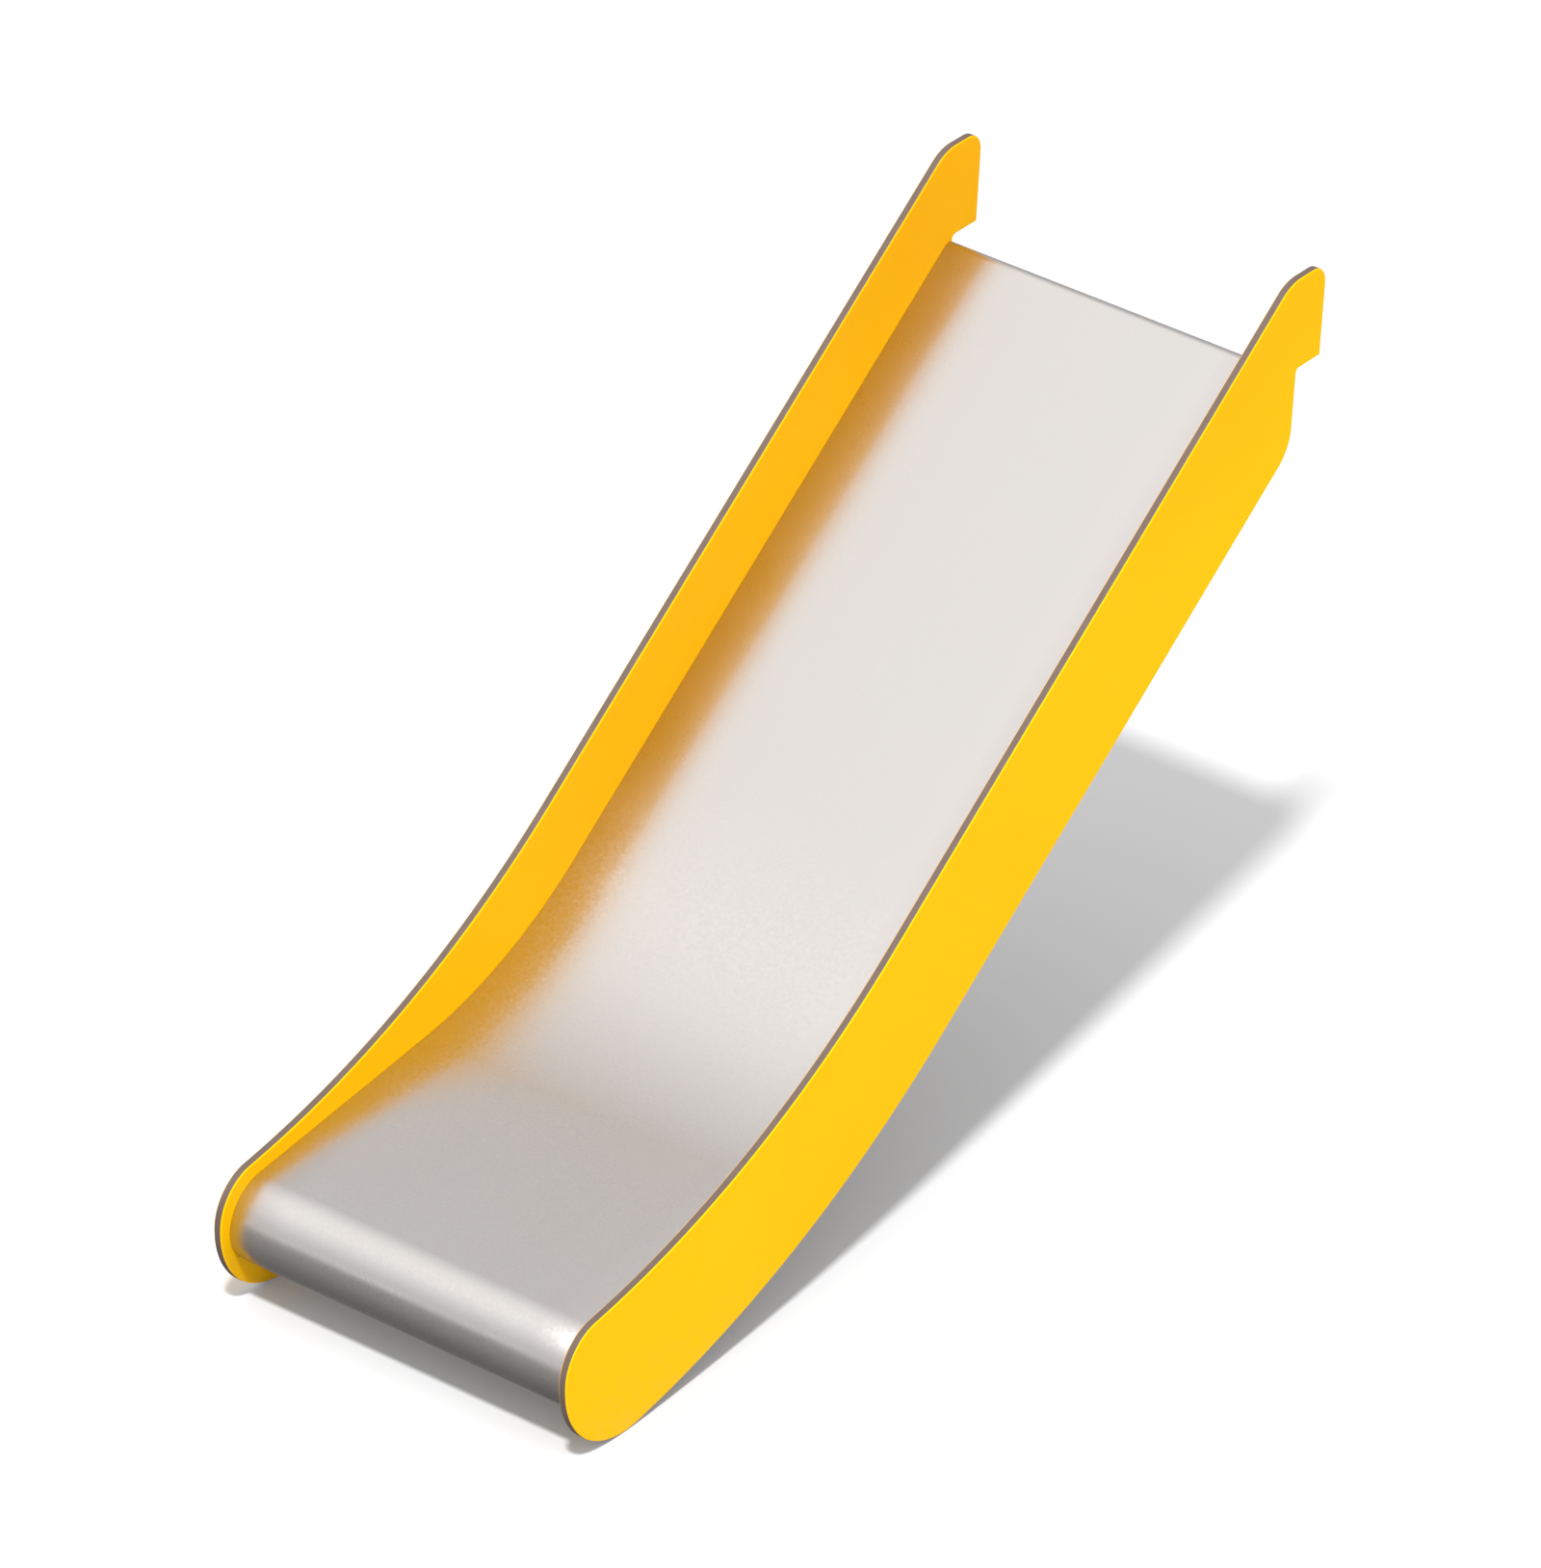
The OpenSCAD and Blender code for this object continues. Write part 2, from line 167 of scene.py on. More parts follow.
def mixColour(tree, share, first, second, blend="MIX"):
    node = addNode(tree, "ShaderNodeMix", data_type="RGBA", blend_type=blend)
    for socket, value in zip((node.inputs[0], node.inputs[6], node.inputs[7]), (share, first, second)):
        if isinstance(value, bpy.types.NodeSocket):
            tree.links.new(value, socket)
        else:
            socket.default_value = value
    return node.outputs[2]


def edgeShare(tree, radius, low, high):
    # 0 on the flats and 1 where a rounded edge would turn away from them, and the rounded normal
    rounded = addNode(tree, "ShaderNodeBevel", {"Radius": radius}, samples=6).outputs[0]
    flat = addNode(tree, "ShaderNodeNewGeometry").outputs["Normal"]
    same = addNode(tree, "ShaderNodeVectorMath", {0: rounded, 1: flat}, operation="DOT_PRODUCT")
    return remap(tree, same.outputs["Value"], 1 - low, 1 - high), rounded


def addBump(tree, shader, height, depth, strength=1.0, normal=None):
    bump = addNode(tree, "ShaderNodeBump", {"Height": height, "Distance": depth, "Strength": strength})
    if normal is not None:
        tree.links.new(normal, bump.inputs["Normal"])
    tree.links.new(bump.outputs[0], shader.inputs["Normal"])


# The slide's lines, in metres and degrees

slideLines = {
    "slopeAngle": 37.8,
    "runoutAngle": 7.0,
    "runoutLength": 0.477,      # from the nose centre to the corner under the bend
    "bendRadius": 0.600,
    "noseRadius": 0.060,
    "hemRadius": 0.012,
    "sheet": 0.002,
    "noseLip": 0.035,
    "hemDepth": 0.080,          # from the platform floor to the hem's lower edge
}
bedLow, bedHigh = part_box("bed_sheet")
plateLow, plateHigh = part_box("entry_plate")
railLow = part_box("right_rail")[0]
deckHeight = plateLow.z + slideLines["hemDepth"]
deckY = bedHigh.y
slope, runout = slideLines["slopeAngle"], slideLines["runoutAngle"]
up = Vector((cos(radians(slope)), sin(radians(slope))))
out = Vector((-up.y, up.x))
runUp = Vector((cos(radians(runout)), sin(radians(runout))))
runOut = Vector((-runUp.y, runUp.x))
noseRadius, bendRadius, hemRadius = (slideLines[k] for k in ("noseRadius", "bendRadius", "hemRadius"))
noseCentre = Vector((bedLow.y + noseRadius, bedLow.z + noseRadius))
runoutLength = slideLines["runoutLength"]
bendCorner = noseCentre + Vector((runoutLength, (noseRadius + runoutLength * runUp.y) / runUp.x))
bendTangent = bendRadius * tan(radians((slope - runout) / 2))
bendCentre = bendCorner - runUp * bendTangent + runOut * bendRadius
hemTangent = hemRadius / tan(radians((90 - slope) / 2))
topZ = deckHeight + hemTangent - hemRadius
slopeLength = (topZ - bendCorner.y) / up.y
topCorner = bendCorner + up * slopeLength
hemCentre = Vector((deckY - hemRadius, topZ - hemTangent))


# Bed sheet: one bent sheet from the lip under the nose to the hem against the platform

bed = {
    "noseSteps": 120,
    "bendSteps": 60,
    "hemSteps": 20,
    "strips": 8,                # quads across the width
    "straightStep": 0.030,      # longest quad along a flat stretch
    "edgeRounding": 0.0004,
    "holeDiameter": 0.011,
    "holeDrop": 0.050,          # below the platform floor
    "holePlaces": (-0.190, -0.070, 0.070, 0.190),
    "drillDepth": 0.020,
}


def fillStraights(points, longest):
    filled = [points[0]]
    for a, b in zip(points, points[1:]):
        parts = max(1, ceil((b - a).length / longest))
        filled += [a.lerp(b, i / parts) for i in range(1, parts + 1)]
    return filled


def bedPath():
    # The sheet's upper face, from the lip under the nose to the hem's lower edge
    return [noseCentre + Vector((slideLines["noseLip"], -noseRadius)),
            *arcPoints(noseCentre, noseRadius, 270, 90 + runout, bed["noseSteps"]),
            *arcPoints(bendCentre, bendRadius, runout - 90, slope - 90, bed["bendSteps"]),
            *arcPoints(hemCentre, hemRadius, 90 + slope, 0, bed["hemSteps"]),
            Vector((deckY, plateLow.z))]


def makeBed():
    top = fillStraights(bedPath(), bed["straightStep"])
    low = []
    for i, p in enumerate(top):
        ahead = top[min(i + 1, len(top) - 1)] - top[max(i - 1, 0)]
        # The sheet's body lies on the right of the path, all the way to the hem
        low.append(p + Vector((ahead.y, -ahead.x)).normalized() * slideLines["sheet"])
    travelled = [0.0]
    for a, b in zip(top, top[1:]):
        travelled.append(travelled[-1] + (b - a).length)
    left, right = bedLow.x, bedHigh.x
    strips = bed["strips"]
    across = [left + (right - left) * i / strips for i in range(strips + 1)]
    work = bmesh.new()
    grain = work.loops.layers.uv.new("grain")       # metres across and along the sheet
    upper, lower = ([[work.verts.new((x, p.x, p.y)) for x in across] for p in line] for line in (top, low))

    def quad(corners, places):
        face = work.faces.new(corners)
        for loop, place in zip(face.loops, places):
            loop[grain].uv = place

    for i in range(len(top) - 1):
        a, b = travelled[i], travelled[i + 1]
        for j in range(strips):
            c, d = across[j], across[j + 1]
            quad((upper[i][j], upper[i][j + 1], upper[i + 1][j + 1], upper[i + 1][j]),
                 ((c, a), (d, a), (d, b), (c, b)))
            quad((lower[i][j], lower[i + 1][j], lower[i + 1][j + 1], lower[i][j + 1]),
                 ((c, a), (c, b), (d, b), (d, a)))
        for j, x in ((0, left), (-1, right)):
            edge = (upper[i][j], upper[i + 1][j], lower[i + 1][j], lower[i][j])
            quad(edge if j == 0 else edge[::-1], ((x, a), (x, b), (x, b), (x, a)))
    for i in (0, -1):
        for j in range(strips):
            end = (upper[i][j], lower[i][j], lower[i][j + 1], upper[i][j + 1])
            quad(end if i == 0 else end[::-1], ((across[j], travelled[i]),) * 4)
    bmesh.ops.recalc_face_normals(work, faces=work.faces)
    mesh = bpy.data.meshes.new("bedSheet")
    work.to_mesh(mesh)
    work.free()
    piece = newPiece("bedSheet", mesh, ("bed_sheet",))
    applyModifier(piece, "BEVEL", width=bed["edgeRounding"], segments=2, limit_method="ANGLE",
                  angle_limit=radians(60))
    holes = [(x, deckY, deckHeight - bed["holeDrop"]) for x in bed["holePlaces"]]
    drillHoles(piece, holes, (0, 1, 0), bed["holeDiameter"], bed["drillDepth"])
    smoothBelow(piece, 30)
    return piece


bedSheet = makeBed()
print("bed sheet:", len(bedSheet.data.polygons), "faces")


# Side panels: laminate boards, with the edge routed round on both faces

panel = {
    "rimHeight": 0.114,         # rim above the bed, square to the slope
    "depth": 0.206,             # from rim to belly, square to the slope
    "rimBend": 1.235,           # radii of the two long curves
    "bellyBend": 1.350,
    "tipHeight": 0.126,         # middle of the tip above the ground, and radius of the curve under it
    "tipTop": 0.065,            # radii of the tip's upper curve and of the corners
    "tailBend": 0.060,
    "tailCorner": 0.028,
    "heel": 0.060,
    "notch": 0.005,
    "sideGap": 0.003,           # in front of the platform's edge
    "topGap": 0.005,            # above the platform floor
    "edgeRound": 0.0028,        # radius of the routed edge
    "skin": 0.0016,             # thickness of the yellow layer
    "edgeSteps": 6,
    "curveSteps": 60,
    "cornerSteps": 18,
    "insertHole": 0.0122,
    "insertDepth": 0.0095,
    "drillPast": 0.002,         # how far a cutter starts outside the board
}
panelLow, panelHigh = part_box("right_side_panel")


def touchingCentre(through, radius, centre, reach):
    # The centre of an arc that leaves the slope's direction near a point and meets a round at the other end
    offset = through + out * radius - centre
    along = offset.dot(up)
    return through + out * radius + up * (sqrt(along ** 2 - offset.length_squared + reach ** 2) - along)


def panelOutline():
    tipY, tailY, tailZ = panelLow.y, panelHigh.y, panelHigh.z
    tipCentre = Vector((tipY + panel["tipTop"], panel["tipHeight"]))
    bellyRadius = panel["tipHeight"]
    bellyCentre = Vector((tipY + bellyRadius, bellyRadius))
    rimPoint = topCorner + out * panel["rimHeight"]
    bellyPoint = topCorner - out * (panel["depth"] - panel["rimHeight"])
    rimCentre = touchingCentre(rimPoint, panel["rimBend"], tipCentre, panel["rimBend"] + panel["tipTop"])
    bendTo = touchingCentre(bellyPoint, panel["bellyBend"], bellyCentre, panel["bellyBend"] - bellyRadius)
    rimTurn = angleOf(rimCentre - tipCentre)
    bellyTurn = angleOf(bellyCentre - bendTo)
    heelY = deckY - panel["sideGap"]
    notchZ = deckHeight + panel["topGap"]
    rimEnd = rimPoint + up * (tailZ - rimPoint.y) / up.y
    heel = bellyPoint + up * (heelY - bellyPoint.x) / up.x
    curve, few = panel["curveSteps"], panel["cornerSteps"]
    flat, rise = Vector((1, 0)), Vector((0, 1))
    return [
        *arcPoints(bellyCentre, bellyRadius, -180, bellyTurn, curve)[:-1],
        *arcPoints(bendTo, panel["bellyBend"], bellyTurn, slope - 90, curve),
        *cornerArc(heel, -up, rise, panel["heel"], few),
        *cornerArc(Vector((heelY, notchZ)), -rise, flat, panel["notch"], few // 2),
        Vector((tailY, notchZ)),
        *cornerArc(Vector((tailY, tailZ)), -rise, -flat, panel["tailCorner"], few),
        *cornerArc(rimEnd, flat, -up, panel["tailBend"], few),
        *arcPoints(rimCentre, panel["rimBend"], slope - 90, rimTurn - 180, curve)[:-1],
        *arcPoints(tipCentre, panel["tipTop"], rimTurn, 180, curve)[:-1],
    ]


def inwardOf(points):
    # The direction into the board at each point, long enough to keep a corner's offset square
    found = []
    for i, p in enumerate(points):
        a, b = (p - points[i - 1]).normalized(), (points[(i + 1) % len(points)] - p).normalized()
        across = Vector((-(a + b).y, (a + b).x)).normalized()
        found.append(across / max(0.5, across.dot(Vector((-a.y, a.x)))))
    return found


def makePanel(name, node, side):
    outline = panelOutline()
    inward = inwardOf(outline)
    radius, skin = panel["edgeRound"], panel["skin"]
    skinTurn = degrees(acos(1 - skin / radius))
    turns = [0, skinTurn / 2, skinTurn] + [skinTurn + (90 - skinTurn) * i / panel["edgeSteps"]
                                           for i in range(1, panel["edgeSteps"] + 1)]
    # Across the edge, from the inner face to the outer: depth from that face and inset from the outline
    shape = [(radius * (1 - cos(radians(t))), radius * (1 - sin(radians(t)))) for t in turns]
    section = [(panelLow.x + d, inset) for d, inset in shape]
    section += [(panelHigh.x - d, inset) for d, inset in reversed(shape)]
    work = bmesh.new()
    loops = []
    for x, inset in section:
        places = [p + v * inset for p, v in zip(outline, inward)]
        loops.append([work.verts.new((side * x, p.x, p.y)) for p in places])
    count = len(outline)
    for k, (lower, upper) in enumerate(zip(loops, loops[1:])):
        isSkin = k < 2 or k >= len(section) - 3
        for i in range(count):
            j = (i + 1) % count
            face = work.faces.new((lower[i], lower[j], upper[j], upper[i]))
            face.material_index = 0 if isSkin else 1
    for loop in (loops[0], loops[-1]):
        work.faces.new(loop)
    bmesh.ops.recalc_face_normals(work, faces=work.faces)
    mesh = bpy.data.meshes.new(name)
    work.to_mesh(mesh)
    work.free()
    piece = newPiece(name, mesh, (node,))
    smoothBelow(piece, 25)
    depth, past = panel["insertDepth"], panel["drillPast"]
    holes = [(side * (panelLow.x + (depth - past) / 2), y, z) for y, z in fixingPlaces()]
    drillHoles(piece, holes, (1, 0, 0), panel["insertHole"], depth + past, 32)
    applyModifier(piece, "WEIGHTED_NORMAL", mode="FACE_AREA", keep_sharp=True)      # broad faces shade flat
    print(name + ":", len(mesh.polygons), "faces")
    return piece


def solidBoxes(node):
    # The box of every separate solid in a node
    work = bmesh.new()
    work.from_mesh(nodes[node].data)
    bmesh.ops.remove_doubles(work, verts=work.verts, dist=1e-6)
    left, boxes = set(work.verts), []
    while left:
        group, waiting = set(), [left.pop()]
        while waiting:
            vert = waiting.pop()
            group.add(vert)
            for link in vert.link_edges:
                other = link.other_vert(vert)
                if other in left:
                    left.discard(other)
                    waiting.append(other)
        boxes.append([Vector([pick(v.co[i] for v in group) for i in range(3)]) for pick in (min, max)])
    work.free()
    return sorted(boxes, key=lambda b: (round(b[0].y, 4), round(b[0].z, 4), round(b[0].x, 4)))


def fixingPlaces():
    middles = [(low + high) / 2 for low, high in solidBoxes("right_panel_inserts")]
    return [(middle.y, middle.z) for middle in middles]


leftPanel = makePanel("leftSidePanel", "left_side_panel", -1)
rightPanel = makePanel("rightSidePanel", "right_side_panel", 1)


# Cross tubes: rectangular tubes with rounded corners, under the bed between the rails

crossTube = {
    "along": 0.040,
    "deep": 0.020,
    "wall": 0.002,
    "corner": 0.004,
    "cornerSteps": 8,
}


def roundedRectangle(wide, high, radius, steps):
    points = []
    for cx, cy, start in ((1, -1, -90), (1, 1, 0), (-1, 1, 90), (-1, -1, 180)):
        centre = Vector((cx * (wide / 2 - radius), cy * (high / 2 - radius)))
        points += arcPoints(centre, radius, start, start + 90, steps)
    return points


def tubeFrame(node):
    # Middle and tilt of a tube: the one in the run-out lies at its angle, the others along the slope
    low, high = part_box(node)
    tilt = runout if node.startswith("runout") else slope
    return Vector(((low.y + high.y) / 2, (low.z + high.z) / 2)), tilt


def placed(point, middle, tilt):
    c, s = cos(radians(tilt)), sin(radians(tilt))
    return middle + Vector((point.x * c - point.y * s, point.x * s + point.y * c))


def makeCrossTube(name, node):
    middle, tilt = tubeFrame(node)
    low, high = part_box(node)
    along, deep, wall, corner = (crossTube[k] for k in ("along", "deep", "wall", "corner"))
    steps = crossTube["cornerSteps"]
    outer = roundedRectangle(along, deep, corner, steps)
    inner = roundedRectangle(along - 2 * wall, deep - 2 * wall, corner - wall, steps)
    work = bmesh.new()
    rings = []
    for points in (outer, inner):
        spots = [placed(p, middle, tilt) for p in points]
        rings.append([[work.verts.new((x, s.x, s.y)) for s in spots] for x in (low.x, high.x)])
    (outA, outB), (inA, inB) = rings
    count = len(outer)
    for i in range(count):
        j = (i + 1) % count
        work.faces.new((outA[i], outA[j], outB[j], outB[i]))
        work.faces.new((inA[j], inA[i], inB[i], inB[j]))
        work.faces.new((outA[j], outA[i], inA[i], inA[j]))
        work.faces.new((outB[i], outB[j], inB[j], inB[i]))
    bmesh.ops.recalc_face_normals(work, faces=work.faces)
    mesh = bpy.data.meshes.new(name)
    work.to_mesh(mesh)
    work.free()
    piece = newPiece(name, mesh, (node,))
    smoothBelow(piece, 35)
    return piece


tubeNames = {
    "upperCrossTube": "upper_cross_tube",
    "middleCrossTube": "middle_cross_tube",
    "lowerCrossTube": "lower_cross_tube",
    "runoutCrossTube": "runout_cross_tube",
}
crossTubes = [makeCrossTube(name, node) for name, node in tubeNames.items()]
print("cross tubes:", len(crossTubes))


# Weld beads: round the tubes' ends, and stitched along the rails under the sheet

weld = {
    "radius": 0.0026,
    "sunk": 0.35,               # share of the radius that is inside the steel
    "ripple": 0.0028,           # distance between two ripples
    "rippleHeight": 0.00045,
    "taper": 6,                 # rings over which a bead's end thins out
    "stitch": 0.035,
    "stitchPitch": 0.150,
    "bendClear": 0.090,         # from the end of the bend to the first stitch
    "topClear": 0.060,
    "runoutStitches": (0.03, 0.13, 0.24),      # from the nose centre
    "plateClear": 0.012,        # from an end of the entry plate to its bead
    "sides": 10,
    "ringSteps": 48,
    "cornerSteps": 4,
}


def addBead(work, points, closed):
    # A rippled round bead along 3-D points, with tapered ends
    path = [points[0]]
    spacing = weld["ripple"] / 4
    ends = points + [points[0]] if closed else points
    for a, b in zip(ends, ends[1:]):
        parts = max(1, round((b - a).length / spacing))
        path += [a.lerp(b, i / parts) for i in range(1, parts + 1)]
    if closed:
        path.pop()
    count, sides = len(path), weld["sides"]
    travelled, rings = 0.0, []
    for i, p in enumerate(path):
        before = path[i - 1] if closed or i else p
        after = path[(i + 1) % count] if closed or i + 1 < count else p
        ahead = (after - before).normalized()
        # Each ring starts from the last one's side, so that the bead doesn't twist
        firstSide = (firstSide - ahead * firstSide.dot(ahead) if rings else ahead.orthogonal()).normalized()
        secondSide = ahead.cross(firstSide)
        size = weld["radius"] + weld["rippleHeight"] * (abs(sin(pi * travelled / weld["ripple"])) - 1)
        if not closed:
            fromEnd = min(i, count - 1 - i) / weld["taper"]
            size *= 0.25 + 0.75 * sin(min(1.0, fromEnd) * pi / 2)
        turns = [2 * pi * k / sides for k in range(sides)]
        rings.append([work.verts.new(p + (firstSide * cos(t) + secondSide * sin(t)) * size) for t in turns])
        travelled += (after - p).length
    pairs = list(zip(rings, rings[1:])) + ([(rings[-1], rings[0])] if closed else [])
    for lower, upper in pairs:
        for k in range(sides):
            work.faces.new((lower[k], lower[(k + 1) % sides], upper[(k + 1) % sides], upper[k]))
    if not closed:
        work.faces.new(rings[0][::-1])
        work.faces.new(rings[-1])


def addStitch(work, x, a, b):
    addBead(work, [Vector((x, a.x, a.y)), Vector((x, b.x, b.y))], False)


def makeWelds():
    work = bmesh.new()
    sunk = weld["radius"] * weld["sunk"]
    tubeLow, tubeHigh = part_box("nose_tube")
    noseRing = arcPoints(noseCentre, (tubeHigh.z - tubeLow.z) / 2 + sunk, 0, 360, weld["ringSteps"])[:-1]
    perCorner = weld["cornerSteps"] + 1
    depth = slideLines["sheet"] + sunk
    for side in (-1, 1):
        x = side * (railLow.x - sunk)
        for node in tubeNames.values():
            middle, tilt = tubeFrame(node)
            ring = roundedRectangle(crossTube["along"] + 2 * sunk, crossTube["deep"] + 2 * sunk,
                                    crossTube["corner"] + sunk, weld["cornerSteps"])
            spots = [placed(p, middle, tilt) for p in ring]
            # The side against the sheet stays free of weld
            welded = spots[3 * perCorner - 1:] + spots[:perCorner + 1]
            addBead(work, [Vector((x, s.x, s.y)) for s in welded], False)
        addBead(work, [Vector((x, s.x, s.y)) for s in noseRing], True)
        start = bendTangent + weld["bendClear"]
        while start + weld["stitch"] < slopeLength - weld["topClear"]:
            addStitch(work, x, *[bendCorner + up * s - out * depth for s in (start, start + weld["stitch"])])
            start += weld["stitchPitch"]
        for start in weld["runoutStitches"]:
            fromBend = [noseCentre.x + s - bendCorner.x for s in (start, start + weld["stitch"])]
            addStitch(work, x, *[bendCorner + Vector((y, (y * runUp.y - depth) / runUp.x)) for y in fromBend])
        plateY = plateLow.y - sunk
        addStitch(work, x, Vector((plateY, plateLow.z + weld["plateClear"])),
                  Vector((plateY, plateHigh.z - weld["plateClear"])))
    for low, high in solidBoxes("nose_ribs"):
        for x in (low.x - sunk, high.x + sunk):
            addBead(work, [Vector((x, s.x, s.y)) for s in noseRing], True)
    mesh = bpy.data.meshes.new("frameWelds")
    work.to_mesh(mesh)
    work.free()
    piece = newPiece("frameWelds", mesh)
    smoothBelow(piece, 60)
    return piece


frameWelds = makeWelds()
print("welds:", len(frameWelds.data.polygons), "faces")


# Materials

yellowLaminate = {
    "colour": (0.88, 0.490, 0.0, 1),
    "deepColour": (0.82, 0.365, 0.0, 1),
    "innerShadeShare": 0.30,         # how much painted shade, in the deep colour, the faces towards the bed get
    "paintedShadeFrom": 0.72,         # above this height a painted shade deepens the boards' colour a little
    "paintedShadeRise": 0.25,
    "paintedShadeShare": 0.35,
    "cloudScale": 2.2,
    "cloudShare": 0.15,
    "wornColour": (0.84, 0.54, 0.05, 1),
    "rubScale": 160,
    "rubShare": 0.10,
    "chipScale": 240,
    "chipShare": 0.5,
    "chippedEdge": 0.0022,
    "dustColour": (0.60, 0.44, 0.16, 1),
    "dustHeight": 0.16,
    "dustScale": 55,
    "dustShare": (0.02, 0.22),  # everywhere, and more in the specks
    "gloss": 0.04,
    "glossTint": (1.0, 0.72, 0.10, 1),
    "roughness": (0.42, 0.54),
    "patchScale": 9,
    "grain": 1400,
    "grainDepth": 0.00006,
}


def makeYellowLaminate():
    look = yellowLaminate
    material, tree, shader, place = startMaterial("yellowLaminate")
    cloud = remap(tree, noise(tree, place, look["cloudScale"], 4), 0.35, 0.7, 0.0, look["cloudShare"])
    # Painted shade: the faces towards the bed get more of the deep colour than the outer ones
    parts = addNode(tree, "ShaderNodeSeparateXYZ", {0: place}).outputs
    normal = addNode(tree, "ShaderNodeTexCoord").outputs["Normal"]
    facing = addNode(tree, "ShaderNodeSeparateXYZ", {0: normal}).outputs
    inner = remap(tree, times(tree, facing[0], parts[0]), 0.0, -0.1, 0.0, look["innerShadeShare"])
    # Painted shade: the boards deepen in colour towards the top
    paintedShadeFrom = look["paintedShadeFrom"]
    paintedShade = remap(tree, parts[2], paintedShadeFrom, paintedShadeFrom + look["paintedShadeRise"], 0.0, look["paintedShadeShare"])
    deep = plus(tree, cloud, plus(tree, inner, paintedShade))
    colour = mixColour(tree, deep, look["colour"], look["deepColour"])
    # Fine rubbing marks along the board, and a little dust where the board stands on the ground
    marks = noise(tree, stretched(tree, place, (1, 0.08, 1)), look["rubScale"], 3, 0.7)
    rub = times(tree, remap(tree, marks, 0.66, 0.78), look["rubShare"])
    colour = mixColour(tree, rub, colour, look["wornColour"])
    edge = edgeShare(tree, look["chippedEdge"], 0.01, 0.20)[0]
    chips = remap(tree, noise(tree, place, look["chipScale"], 4, 0.7), 0.48, 0.66)
    chipped = times(tree, times(tree, edge, chips), look["chipShare"])
    colour = mixColour(tree, chipped, colour, look["wornColour"])
    low = remap(tree, parts[2], look["dustHeight"], 0.0)
    speck = remap(tree, noise(tree, place, look["dustScale"], 5, 0.65), 0.42, 0.75)
    thin, thick = look["dustShare"]
    dust = times(tree, times(tree, low, low), plus(tree, times(tree, speck, thick), thin))
    colour = mixColour(tree, dust, colour, look["dustColour"])
    tree.links.new(colour, shader.inputs["Base Color"])
    patches = remap(tree, noise(tree, place, look["patchScale"], 5, 0.6), 0.3, 0.7, *look["roughness"])
    rough = plus(tree, plus(tree, patches, times(tree, dust, 0.4)), times(tree, rub, 0.6))
    tree.links.new(rough, shader.inputs["Roughness"])
    shader.inputs["Specular IOR Level"].default_value = look["gloss"]
    shader.inputs["Specular Tint"].default_value = look["glossTint"]
    peel = noise(tree, place, look["grain"], 2, 0.5)
    addBump(tree, shader, plus(tree, peel, times(tree, rub, 2.0)), look["grainDepth"], 0.6)
    return material


boardCore = {
    "colour": (0.085, 0.054, 0.042, 1),
    "lightColour": (0.145, 0.100, 0.080, 1),
    "layer": 0.0006,            # thickness of one paper layer
    "blotchScale": 30,
    "blotchShare": 0.35,
    "roughness": (0.45, 0.67),
    "fibreScale": 700,
    "fibreDepth": 0.00005,
}


def makeBoardCore():
    look = boardCore
    material, tree, shader, place = startMaterial("boardCore")
    wander = stretched(tree, place, (1.0, 0.25, 0.25))
    # The wave's own period is pi / 10 over its scale, and a dark and a light layer share one period
    wave = {"Vector": wander, "Scale": pi / 20 / look["layer"], "Distortion": 1.2, "Detail": 2.0,
            "Detail Scale": 0.6}
    layers = addNode(tree, "ShaderNodeTexWave", wave, wave_type="BANDS", bands_direction="X").outputs[1]
    colour = mixColour(tree, times(tree, layers, 0.55), look["colour"], look["lightColour"])
    blotch = remap(tree, noise(tree, place, look["blotchScale"], 4), 0.35, 0.7, 0.0, look["blotchShare"])
    colour = mixColour(tree, blotch, colour, look["lightColour"])
    tree.links.new(colour, shader.inputs["Base Color"])
    rough = remap(tree, noise(tree, place, 90, 3), 0.3, 0.7, *look["roughness"])
    tree.links.new(rough, shader.inputs["Roughness"])
    fibres = noise(tree, place, look["fibreScale"], 2)
    addBump(tree, shader, plus(tree, times(tree, layers, 0.5), fibres), look["fibreDepth"], 0.7)
    return material


slideSteel = {
    "colour": (0.610, 0.586, 0.568, 1),
    "dullColour": (0.560, 0.530, 0.510, 1),
    "roughness": (0.28, 0.36),
    "panelShadeColour": (0.53, 0.475, 0.47, 1),      # painted shade, darker and browner along the two side panels
    "panelShadeFrom": 0.165,         # distance from the middle of the bed where it starts
    "panelShadeGrows": 0.08,         # width over which it reaches its full share
    "panelShadeHeight": (0.20, 0.45),        # below the first there is little of it
    "panelShadeLow": 0.2,
    "scuffedTo": 0.34,          # shoes have dulled the sheet up to this height
    "scuffedFade": 0.10,
    "brush": (800, 12),         # lines per metre across, and breaks per metre along
    "longBrush": (420, 3.5),
    "brushDepth": 0.00001,
    "cloudScale": 7,
    "mottle": 210,
    "trackHalf": 0.17,          # half width of the part that riders polish
    "trackFade": 0.06,
}


